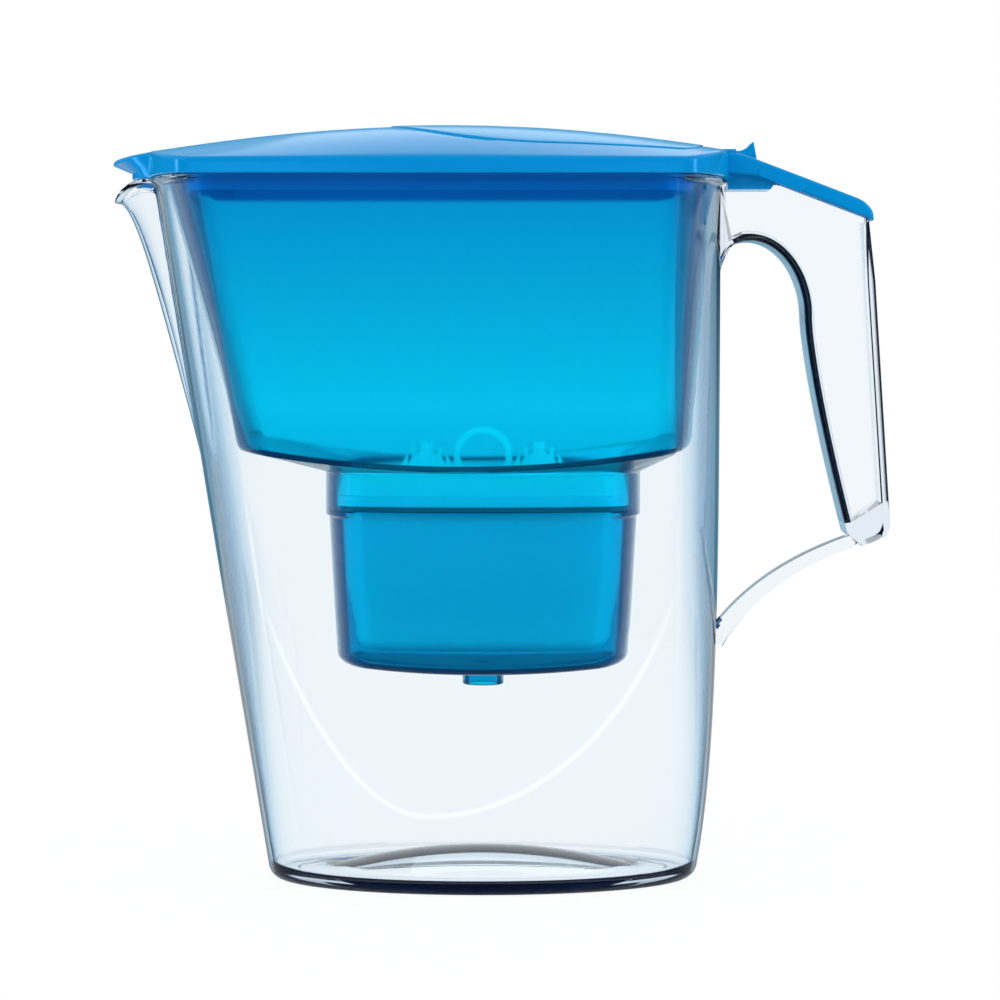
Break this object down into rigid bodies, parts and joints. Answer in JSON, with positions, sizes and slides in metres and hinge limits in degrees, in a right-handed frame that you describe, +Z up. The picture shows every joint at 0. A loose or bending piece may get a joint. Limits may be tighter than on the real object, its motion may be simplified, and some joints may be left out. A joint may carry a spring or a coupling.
{
  "type": "water filter pitcher with flip lid",
  "caption": "Clear oval-base water filter pitcher with hollow handle, hanging hopper, drop-in cartridge and a lid with a thumb-tipped fill hatch.",
  "frame": {"origin": "on the surface the jug stands on, under the middle of the overall length and width", "axes": "+Z up, -X towards the spout, +X towards the handle, +Y across the pitcher"},
  "size_m": [0.2754, 0.1102, 0.2683],
  "materials": {
    "clear_jug": "clear moulded SAN, polished",
    "hopper_tint": "translucent cyan moulding, polished",
    "lid_blue": "gloss moulded ABS",
    "hatch_blue": "gloss moulded ABS",
    "cartridge_shell": "moulded polypropylene",
    "cartridge_cap": "moulded polypropylene",
    "seal": "soft moulded elastomer",
    "mesh": "woven polyester screen",
    "carbon": "packed carbon granules",
    "felt": "needled polyester felt",
    "resin": "packed resin beads"
  },
  "bodies": {
    "jug": {"jug": "clear_jug", "handle": "clear_jug"},
    "hopper": {"hopper": "hopper_tint", "cartridge_well": "hopper_tint"},
    "cartridge": {"cartridge_housing": "cartridge_shell", "cartridge_cap": "cartridge_cap", "sealing_ring": "seal", "inlet_screen": "mesh", "carbon_bed": "carbon", "divider_felt": "felt", "resin_bed": "resin", "outlet_screen": "felt"},
    "lid": {"lid": "lid_blue"},
    "hatch": {"fill_hatch": "hatch_blue"}
  },
  "joints": [
    {"name": "hopper_lift", "type": "slide", "parent": "jug", "child": "hopper", "axis": [0, 0, 1], "range_m": [0, 0.19]},
    {"name": "cartridge_lift", "type": "slide", "parent": "hopper", "child": "cartridge", "axis": [0, 0, 1], "range_m": [0, 0.178]},
    {"name": "lid_lift", "type": "slide", "parent": "cartridge", "child": "lid", "axis": [0, 0, 1], "range_m": [0, 0.05]},
    {"name": "hatch_hinge", "type": "hinge", "parent": "lid", "child": "hatch", "pos_m": [0.07895, 0, 0.257], "axis": [0, 1, 0], "range_deg": [0, 55]}
  ]
}
